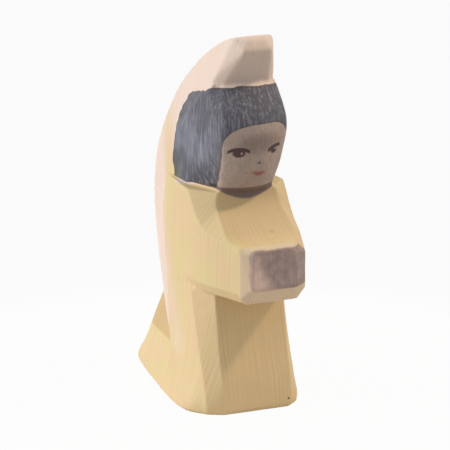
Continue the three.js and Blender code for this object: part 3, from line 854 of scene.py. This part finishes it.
    def lay_hands(self, tree: PaintTree, under: Feed, wood: Feed, wander: Node) -> Node:
        """Lays the hands: a round-cornered patch on the front of the sleeves, lightest at one low corner.

        Args:
            tree: Material to lay it in.
            under: Colour round them.
            wood: Colour of the bare wood that they are laid on.
            wander: Hand's wander of the brush, in millimetres.

        Returns:
            The colour with the hands on it.
        """
        middle_x, middle_z = [sum(ends) / 2 for ends in (self.hands_x, self.hands_z)]
        core_x, core_z = [
            (high - low) / 2 - self.hands_corner for low, high in (self.hands_x, self.hands_z)]
        out = tree.add("VectorMath", {0: tree.front, 1: (middle_x, 0.0, middle_z)}, operation="SUBTRACT")
        size = tree.add("VectorMath", {0: out}, operation="ABSOLUTE")
        beyond = tree.add("VectorMath", {0: size, 1: (core_x, 0.0, core_z)}, operation="SUBTRACT")
        outside = tree.add("VectorMath", {0: beyond, 1: (0.0, 0.0, 0.0)}, operation="MAXIMUM")
        length = tree.add("VectorMath", {0: outside}, operation="LENGTH")
        within = tree.add("Math", {0: self.hands_corner, 1: length}, operation="SUBTRACT")
        ahead = tree.add("Math", {0: self.hands_back, 1: tree.y}, operation="SUBTRACT")
        patch = tree.add("Math", {0: within, 1: ahead}, operation="MINIMUM")
        drawn = tree.add("Math", {0: wander, 1: self.hands_wander, 2: patch}, operation="MULTIPLY_ADD")
        mottle = tree.add("TexNoise", {
            "Vector": tree.point, "Scale": 1 / self.patch_mm, "Detail": 4.0, "Roughness": 0.65})
        tone = tree.add("MapRange", {"Value": mottle, "From": (0.4, 0.68)})
        slant = tree.add("VectorMath", {0: tree.point, 1: self.hands_lit}, operation="DOT_PRODUCT")
        lit = tree.add("MapRange", {
            "Value": slant, "From": self.hands_lit_range, "To": (0.0, 0.8)}, interpolation_type="SMOOTHSTEP")
        light = tree.add("Math", {0: tone, 1: 0.35, 2: lit}, operation="MULTIPLY_ADD")
        paint = tree.add("Mix", {
            "Factor": light, "A": linear(self.hands), "B": linear(self.hands_light)}, data_type="RGBA")
        rim = tree.add("MapRange", {
            "Value": within, "From": (0.3, 2.0), "To": (0.3, 0.0)}, interpolation_type="SMOOTHSTEP")
        paint = tree.add("Mix", {"Factor": rim, "A": paint, "B": linear(self.hands_edge)}, data_type="RGBA")
        return tree.wash(under, wood, paint, self.hands_strength, drawn, (-self.edge, self.edge))


@dataclass(frozen=True)
class Mark:
    """A round mark in the wood: its middle, its radius and how much it hides."""

    middle: tuple[float, float, float]
    radius: float
    share: float


@dataclass(frozen=True)
class Blemishes:
    """Marks of the wood under the paint: a dark speck at the hem, a pin knot and a spot on the chest."""

    colour: str = "#4A3A26"
    marks: tuple[Mark, ...] = (
        Mark((12.4, -20.4, 3.6), 0.42, 0.9),
        Mark((4.4, -22.3, 67.7), 0.9, 0.15),
        Mark((-6.0, -17.5, 73.0), 0.5, 0.2),
    )

    def lay(self, tree: PaintTree, under: Feed) -> Feed:
        """Lays the marks.

        Args:
            tree: Material to lay them in.
            under: Colour of the wood.

        Returns:
            The colour with them in it.
        """
        marked = under
        for mark in self.marks:
            away = tree.add("VectorMath", {0: tree.point, 1: mark.middle}, operation="DISTANCE")
            spot = tree.add("MapRange", {
                "Value": away, "From": (0.5 * mark.radius, 1.4 * mark.radius), "To": (mark.share, 0.0)})
            marked = tree.add("Mix", {
                "Factor": spot, "A": marked, "B": linear(self.colour)}, data_type="RGBA")
        return marked


@dataclass(frozen=True)
class Finish:
    """What a slot's material is called and how rough its surface is."""

    name: str
    roughness: float


@dataclass(frozen=True)
class PaintBox:
    """All the washes of one figure, and the materials that they make with the wood under them.

    Oil leaves the bare maple satin, and watercolour raises its fibres, so the painted faces are duller.
    """

    axis: Axis
    wood: Maple = Maple()
    gown: GownWash = GownWash()
    hair: HairWash = HairWash()
    skin: SkinWash = SkinWash()
    blemishes: Blemishes = Blemishes()
    wander_mm: float = 7.0
    wander_reach: float = 1.6
    face_wander: float = 0.4
    finishes: dict[Slot, Finish] = field(default_factory=lambda: {
        Slot.GOWN: Finish("maple_with_yellow_watercolour", 0.6),
        Slot.SKIN: Finish("maple_with_brown_watercolour", 0.64),
        Slot.HAIR: Finish("maple_with_slate_watercolour", 0.66),
        Slot.BARE: Finish("maple_oiled", 0.56),
    })

    def mix(self, slot: Slot) -> bpy.types.Material:
        """Makes the material of one slot.

        Args:
            slot: Which finish.

        Returns:
            The material, with the wood, the washes that reach its pieces and their roughness.
        """
        finish = self.finishes[slot]
        tree = PaintTree(finish.name, self.axis)
        wood, grain = self.wood.lay(tree)
        wood = self.blemishes.lay(tree, wood)
        waves = tree.add("TexNoise", {"Vector": tree.point, "Scale": 1 / self.wander_mm, "Detail": 3.0})
        wander = tree.add("MapRange", {
            "Value": waves, "From": (0.25, 0.75), "To": (-self.wander_reach / 2, self.wander_reach / 2)})
        face = self.skin.face(tree)
        face = tree.add("Math", {0: wander, 1: self.face_wander, 2: face}, operation="MULTIPLY_ADD")
        over_shoulder = self.hair.over_shoulder(tree)
        colour = self.gown.lay(tree, wood, over_shoulder, wander, slot)
        if slot is Slot.SKIN:
            colour = self.skin.lay_hands(tree, colour, wood, wander)
        if slot is not Slot.BARE:
            colour = self.skin.lay_face(tree, colour, wood, face, wander)
        if slot is not Slot.GOWN:
            colour = self.hair.lay(tree, colour, self.hair.inside(tree, face, over_shoulder, wander))
        bump = tree.add("Bump", {
            "Strength": self.wood.grain_strength, "Distance": self.wood.grain_depth_mm * MM, "Height": grain})
        shader = tree.add("BsdfPrincipled", {
            "Base Color": colour, "Roughness": finish.roughness, "IOR": self.wood.ior, "Normal": bump})
        tree.add("OutputMaterial", {"Surface": shader})
        log.info("%s: %d nodes", finish.name, len(tree.material.node_tree.nodes))
        return tree.material


@dataclass(frozen=True)
class Sanding:
    """A zone that is sanded rounder: a level, how far it reaches up and down, and its back limit."""

    name: str
    level: float
    half: float
    ramp: float
    back: float
    passes: int

    def share(self, y: float, z: float) -> float:
        """Gives how much of the sanding a point gets, from 0 to 1."""
        inside = min(self.half - abs(z - self.level), self.back - y)
        return max(0.0, min(1.0, inside / self.ramp))


@dataclass
class CarvedBlock:
    """The figure in one piece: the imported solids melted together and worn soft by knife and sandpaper."""

    axis: Axis
    voxel: float = 0.5
    bridge: float = 0.22
    ease: float = 0.5
    passes: int = 6
    zones: tuple[Sanding, ...] = (
        Sanding("crest", level=130.0, half=13.0, ramp=5.0, back=90.0, passes=24),
        Sanding("temples", level=101.0, half=17.0, ramp=4.0, back=8.0, passes=40),
    )
    tool_marks: float = 0.1
    tool_mark_mm: float = 8.0
    base_ramp: float = 2.0

    def build(self, nodes: dict[str, bpy.types.Object]) -> bpy.types.Object:
        """Melts the solids into one block.

        Args:
            nodes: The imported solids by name.

        Returns:
            The block as a closed mesh.
        """
        shell = bmesh.new()
        for node in nodes.values():
            shell.from_mesh(node.data)
        bmesh.ops.remove_doubles(shell, verts=shell.verts, dist=MM * MM)
        solids = new_object("solids", shell)
        block = bpy.data.objects.new("carved_block", solids.data.copy())
        bpy.context.scene.collection.objects.link(block)
        swell = block.modifiers.new("swell", "DISPLACE")
        swell.strength = self.bridge * MM
        swell.mid_level = 0.0
        melt = block.modifiers.new("melt", "REMESH")
        melt.mode = "VOXEL"
        melt.voxel_size = self.voxel * MM
        apply_modifiers(block)
        self.keep_skin(block.data)
        lay_back = block.modifiers.new("lay_back", "SHRINKWRAP")
        lay_back.target = solids
        sand = block.modifiers.new("sand", "SMOOTH")
        sand.factor = self.ease
        sand.iterations = self.passes
        apply_modifiers(block)
        bpy.data.objects.remove(solids)
        for zone in self.zones:
            self.soften(block, zone)
        self.mark(block.data)
        log.info("block: %d faces", len(block.data.polygons))
        return block

    def keep_skin(self, mesh: bpy.types.Mesh) -> None:
        """Drops the closed hollows that the joints leave inside, keeping the outer skin.

        Args:
            mesh: The block's mesh.
        """
        skin = bmesh.new()
        skin.from_mesh(mesh)
        left = set(skin.verts)
        islands: list[set[bmesh.types.BMVert]] = []
        while left:
            island = {left.pop()}
            rim = list(island)
            while rim:
                vert = rim.pop()
                near = [edge.other_vert(vert) for edge in vert.link_edges]
                fresh = [other for other in near if other in left]
                left.difference_update(fresh)
                island.update(fresh)
                rim.extend(fresh)
            islands.append(island)
        islands.sort(key=len)
        hollows = [vert for island in islands[:-1] for vert in island]
        bmesh.ops.delete(skin, geom=hollows, context="VERTS")
        skin.to_mesh(mesh)
        skin.free()

    def soften(self, block: bpy.types.Object, zone: Sanding) -> None:
        """Sands one zone rounder.

        Args:
            block: The carved block.
            zone: Where, and how long.
        """
        group = block.vertex_groups.new(name=zone.name)
        for vert in block.data.vertices:
            share = zone.share((vert.co.y - self.axis.y) / MM, vert.co.z / MM)
            if share > 0:
                group.add([vert.index], share, "REPLACE")
        sand = block.modifiers.new(zone.name, "SMOOTH")
        sand.factor = self.ease
        sand.iterations = zone.passes
        sand.vertex_group = group.name
        apply_modifiers(block)
        block.vertex_groups.clear()

    def mark(self, mesh: bpy.types.Mesh) -> None:
        """Leaves the slight unevenness of hand work on every face above the flat base.

        Args:
            mesh: The block's mesh.
        """
        normals = [vert.normal.copy() for vert in mesh.vertices]
        for vert, normal in zip(mesh.vertices, normals):
            height = noise.noise(vert.co / (self.tool_mark_mm * MM))
            lift = max(0.0, min(1.0, vert.co.z / (self.base_ramp * MM)))
            vert.co += normal * (height * lift * self.tool_marks * MM)


def apply_modifiers(piece: bpy.types.Object) -> None:
    """Bakes a piece's modifiers into its mesh.

    Args:
        piece: The object, which keeps its name and place.
    """
    graph = bpy.context.evaluated_depsgraph_get()
    mesh = bpy.data.meshes.new_from_object(piece.evaluated_get(graph))
    piece.modifiers.clear()
    old = piece.data
    piece.data = mesh
    bpy.data.meshes.remove(old)


def new_object(name: str, shell: bmesh.types.BMesh) -> bpy.types.Object:
    """Turns a finished shell into an object of the scene and frees the shell.

    Args:
        name: Name of the object and its mesh.
        shell: The shell.

    Returns:
        The object.
    """
    mesh = bpy.data.meshes.new(name)
    shell.to_mesh(mesh)
    shell.free()
    made = bpy.data.objects.new(name, mesh)
    bpy.context.scene.collection.objects.link(made)
    return made


def prism(name: str, outline: list[Vector], along: Vector) -> bpy.types.Object:
    """Makes a closed cutter from a flat outline.

    Args:
        name: Name of the cutter.
        outline: Corners in order, in the frame's metres.
        along: Direction and length of the cutter.

    Returns:
        The cutter.
    """
    shell = bmesh.new()
    face = shell.faces.new([shell.verts.new(point) for point in outline])
    grown = bmesh.ops.extrude_face_region(shell, geom=[face])["geom"]
    bmesh.ops.translate(shell, vec=along, verts=[v for v in grown if isinstance(v, bmesh.types.BMVert)])
    bmesh.ops.recalc_face_normals(shell, faces=shell.faces)
    return new_object(name, shell)


class Cut(Enum):
    """What a cutter does to the block."""

    KEEP = "INTERSECT"
    DROP = "DIFFERENCE"


@dataclass
class SubAssembly:
    """Pieces that are cut from the block together and dressed from one set of materials."""

    axis: Axis
    materials: dict[Slot, bpy.types.Material]
    shoulder: float = 81.0
    past: float = 90.0
    crease: float = math.radians(50)

    def cut(self, block: bpy.types.Object, name: str, slot: Slot,
            cuts: list[tuple[bpy.types.Object, Cut]]) -> None:
        """Parts one piece from the block, dresses it and seats it on the frame.

        Args:
            block: The carved block.
            name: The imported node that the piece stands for.
            slot: Its finish.
            cuts: Cutters in order, each with what it does.
        """
        piece = bpy.data.objects.new("carved_" + name, block.data.copy())
        bpy.context.scene.collection.objects.link(piece)
        for cutter, action in cuts:
            saw = piece.modifiers.new(cutter.name, "BOOLEAN")
            saw.operation = action.value
            saw.solver = "MANIFOLD"
            saw.object = cutter
        apply_modifiers(piece)
        piece.data.shade_smooth()
        piece.data.set_sharp_from_angle(angle=self.crease)
        piece.data.materials.clear()
        piece.data.materials.append(self.materials[slot])
        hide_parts(name)
        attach(piece, "root")
        log.info("%s: %d faces, %s", piece.name, len(piece.data.polygons), slot.value)

    def slab(self, name: str, low: tuple[float, float, float],
             high: tuple[float, float, float]) -> bpy.types.Object:
        """Makes a box-shaped cutter between two corners.

        Args:
            name: Name of the cutter.
            low: Lowest corner in millimetres.
            high: Highest corner in millimetres.

        Returns:
            The cutter.
        """
        corners = [(low[0], low[1]), (high[0], low[1]), (high[0], high[1]), (low[0], high[1])]
        outline = [self.axis.place(x, y, low[2]) for x, y in corners]
        return prism(name, outline, Vector((0.0, 0.0, (high[2] - low[2]) * MM)))


@dataclass
class Wings(SubAssembly):
    """The folded wings: a crescent down the back that ends in a point over the train and in the crest."""

    gown: GownBorder = GownBorder()
    inner_centre: tuple[float, float] = (-38.0, 60.0)
    inner_radius: float = 66.3
    inner_turn: float = math.radians(2)
    turn_height: float = 69.0
    crown_angle: float = math.radians(58)
    crest_front: tuple[float, float] = (-13.2, 119.4)
    foot_height: float = 19.3
    end: tuple[float, float] = (12.4, 16.9)
    bend: tuple[float, float] = (38.6, 33.6)
    bend_control: tuple[float, float] = (34.7, 22.3)
    bend_rise: float = 4.0
    steps: int = 24

    def outline(self) -> list[tuple[float, float]]:
        """Draws the crescent's border from the side: up gown and hair, round the back, in to the point.

        Returns:
            Points (y, z) in order, with the far side well behind the figure.
        """
        gown_centre = (self.gown.y, self.gown.z)
        low = math.asin((self.foot_height - self.gown.z) / self.gown.radius)
        high = math.asin((self.turn_height - self.gown.z) / self.gown.radius)
        turn = math.asin((self.turn_height - self.inner_centre[1]) / self.inner_radius) + self.inner_turn
        points = []
        for centre, radius, start, stop in (
            (gown_centre, self.gown.radius, low, high),
            (self.inner_centre, self.inner_radius, turn, self.crown_angle),
        ):
            for i in range(self.steps + 1):
                angle = start + (stop - start) * i / self.steps
                points.append((centre[0] + radius * math.cos(angle), centre[1] + radius * math.sin(angle)))
        points += [self.crest_front, (-self.past, self.crest_front[1]), (-self.past, 2 * self.past)]
        points += [(self.past, 2 * self.past), (self.past, self.bend[1] + self.bend_rise)]
        for i in range(self.steps + 1):
            t = i / self.steps
            a, b, c = (1 - t) ** 2, 2 * t * (1 - t), t * t
            curve = zip(self.bend, self.bend_control, self.end)
            points.append(tuple(a * first + b * control + c * last for first, control, last in curve))
        return points

    def cutter(self) -> bpy.types.Object:
        """Makes the crescent-shaped cutter, which the other pieces are cut back by."""
        outline = [self.axis.place(-self.past, y, z) for y, z in self.outline()]
        return prism("crescent", outline, Vector((2 * self.past * MM, 0.0, 0.0)))

    def build(self, block: bpy.types.Object, crescent: bpy.types.Object) -> None:
        """Parts the wings from the block."""
        self.cut(block, "wings", Slot.BARE, [(crescent, Cut.KEEP)])


@dataclass
class Gown(SubAssembly):
    """The gown: skirt with train, bodice, both sleeves and the hands on their front."""

    waist: float = 44.0
    wrist: float = 31.0
    sleeve_inner: float = 9.0
    armhole: float = 8.0

    def build(self, block: bpy.types.Object, crescent: bpy.types.Object) -> None:
        """Parts skirt, bodice, sleeves and hands from the block.

        Args:
            block: The carved block.
            crescent: Cutter of the wings.
        """
        past = self.past
        below = self.slab("below_waist", (-past, -past, -past), (past, past, self.waist))
        middle = self.slab("waist_to_shoulder", (-past, -past, self.waist), (past, past, self.shoulder))
        cuffs = self.slab("before_cuffs", (-past, -past, 0.0), (past, -self.wrist, past))
        right = self.slab("right_arm", (-past, -past, 0.0), (-self.sleeve_inner, self.armhole, past))
        left = self.slab("left_arm", (self.sleeve_inner, -past, 0.0), (past, self.armhole, past))
        upper = [(middle, Cut.KEEP), (crescent, Cut.DROP), (cuffs, Cut.DROP)]
        self.cut(block, "skirt", Slot.GOWN, [(below, Cut.KEEP), (crescent, Cut.DROP)])
        self.cut(block, "bodice", Slot.GOWN, [*upper, (right, Cut.DROP), (left, Cut.DROP)])
        self.cut(block, "right_sleeve", Slot.GOWN, [*upper, (right, Cut.KEEP)])
        self.cut(block, "left_sleeve", Slot.GOWN, [*upper, (left, Cut.KEEP)])
        self.cut(block, "hands", Slot.SKIN, [(middle, Cut.KEEP), (cuffs, Cut.KEEP)])
        for cutter in (below, middle, cuffs, right, left):
            bpy.data.objects.remove(cutter)


@dataclass
class Head(SubAssembly):
    """The head: a face that fills an arched opening of the hair round it."""

    face_half: float = 11.2
    face_spring: float = 99.0
    face_rise: float = 8.0
    face_depth: float = 4.0
    steps: int = 16

    def arch(self) -> bpy.types.Object:
        """Makes the arched cutter of the face's opening.

        Returns:
            The cutter.
        """
        points = [(-self.face_half, 0.0), (self.face_half, 0.0)]
        for i in range(self.steps + 1):
            angle = math.pi * i / self.steps
            height = self.face_spring + self.face_rise * math.sin(angle)
            points.append((self.face_half * math.cos(angle), height))
        outline = [self.axis.place(x, self.face_depth, z) for x, z in points]
        return prism("face_opening", outline, Vector((0.0, -self.past * MM, 0.0)))

    def build(self, block: bpy.types.Object, crescent: bpy.types.Object) -> None:
        """Parts face and hair from the block.

        Args:
            block: The carved block.
            crescent: Cutter of the wings.
        """
        past = self.past
        above = self.slab("above_shoulder", (-past, -past, self.shoulder), (past, past, 2 * past))
        arch = self.arch()
        top = [(above, Cut.KEEP), (crescent, Cut.DROP)]
        self.cut(block, "head", Slot.SKIN, [*top, (arch, Cut.KEEP)])
        self.cut(block, "hair", Slot.HAIR, [*top, (arch, Cut.DROP)])
        for cutter in (above, arch):
            bpy.data.objects.remove(cutter)


@dataclass(frozen=True)
class Lamp:
    """A square studio lamp that faces the figure, with its distance and size in metres."""

    name: str
    direction: tuple[float, float, float]
    size: float
    watts: float
    colour: str
    distance: float = 1.0

    def hang(self, aim: Vector) -> None:
        """Hangs the lamp.

        Args:
            aim: Point that it faces, in the frame's metres.
        """
        light = bpy.data.lights.new(self.name, "AREA")
        light.size = self.size
        light.energy = self.watts
        light.color = linear(self.colour)[:3]
        lamp = bpy.data.objects.new(self.name, light)
        out = Vector(self.direction).normalized()
        lamp.location = aim + out * self.distance
        lamp.rotation_euler = out.to_track_quat("Z", "Y").to_euler()
        bpy.context.scene.collection.objects.link(lamp)


@dataclass
class Studio:
    """White paper on a grey table, soft light and the camera at the photograph's angle."""

    axis: Axis
    eye: tuple[float, float, float] = (-458.6, -1021.5, 365.0)
    pitch: float = math.radians(15)
    yaw: float = math.radians(-24)
    lens: float = 256.0
    sensor: float = 36.0
    clip_end: float = 20.0
    aim_height: float = 70.0
    floor_half: float = 4.0
    floor_share: float = 0.05
    paper: str = "#E8E8E8"
    paper_reach: float = 160.0
    table: str = "#8E8E8E"
    white: str = "#FFFFFF"
    sky: float = 0.425
    lamps: tuple[Lamp, ...] = (
        Lamp("key", (-0.9, 0.3, 0.3), size=0.5, watts=5.9, colour="#FFFDFA"),
        Lamp("top_right", (0.62, -0.28, 0.73), size=0.09, watts=3.4, colour="#FFE8CC"),
        Lamp("front_fill", (0.5, -0.75, 0.45), size=0.7, watts=0.6, colour="#FFF4E4"),
    )

    def build(self) -> None:
        """Sets up floor, sky, lamps and camera."""
        self.lay_floor()
        self.light()
        camera = bpy.data.objects.new("camera", bpy.data.cameras.new("camera"))
        camera.data.lens = self.lens
        camera.data.sensor_width = self.sensor
        camera.data.clip_end = self.clip_end
        camera.location = self.axis.place(*self.eye)
        camera.rotation_euler = (math.pi / 2 - self.pitch, 0.0, self.yaw)
        bpy.context.scene.collection.objects.link(camera)
        bpy.context.scene.camera = camera

    def lay_floor(self) -> None:
        """Lays the paper and the table: both read white to the camera, and the figure's shadow stays."""
        half = self.floor_half
        corners = [(-half, -half, 0), (half, -half, 0), (half, half, 0), (-half, half, 0)]
        mesh = bpy.data.meshes.new("floor")
        mesh.from_pydata(corners, [], [(0, 1, 2, 3)])
        floor = bpy.data.objects.new("floor", mesh)
        bpy.context.scene.collection.objects.link(floor)
        tree = PaintTree("white_paper", self.axis)
        reach = tree.add("VectorMath", {0: tree.point}, operation="LENGTH")
        beyond = tree.add("MapRange", {"Value": reach, "From": (0.8 * self.paper_reach, self.paper_reach)})
        tone = tree.add("Mix", {
            "Factor": beyond, "A": linear(self.paper), "B": linear(self.table)}, data_type="RGBA")
        dull = tree.add("BsdfDiffuse", {"Color": tone})
        glow = tree.add("Emission", {"Color": linear(self.white), "Strength": 1.0})
        share = tree.add("Math", {0: tree.seen(), 1: 1 - self.floor_share}, operation="MULTIPLY")
        surface = tree.add("MixShader", {0: share, 1: dull, 2: glow})
        tree.add("OutputMaterial", {"Surface": surface})
        mesh.materials.append(tree.material)

    def light(self) -> None:
        """Lights the figure: a plain sky, which reads white to the camera, and the lamps."""
        world = bpy.data.worlds.new("studio")
        bpy.context.scene.world = world
        world.use_nodes = True
        tree = ShaderTree(world.node_tree)
        strength = tree.add("MapRange", {"Value": tree.seen(), "To": (self.sky, 1.0)})
        plain = tree.add("Background", {"Color": linear(self.white), "Strength": strength})
        tree.add("OutputWorld", {"Surface": plain})
        for lamp in self.lamps:
            lamp.hang(self.axis.place(0.0, 0.0, self.aim_height))
        bpy.context.scene.view_settings.view_transform = "Standard"


def main() -> None:
    """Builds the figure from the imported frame, dresses it and sets up the studio."""
    logging.basicConfig(level=logging.INFO, format="%(name)s: %(message)s")
    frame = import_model()
    axis = Axis.from_frame(hands_reach=35.0)
    Studio(axis).build()
    paint = PaintBox(axis)
    materials = {slot: paint.mix(slot) for slot in Slot}
    block = CarvedBlock(axis).build(frame["nodes"])
    wings = Wings(axis, materials)
    crescent = wings.cutter()
    wings.build(block, crescent)
    Gown(axis, materials).build(block, crescent)
    Head(axis, materials).build(block, crescent)
    for tool in (crescent, block):
        bpy.data.objects.remove(tool)


if __name__ == "__main__":
    main()
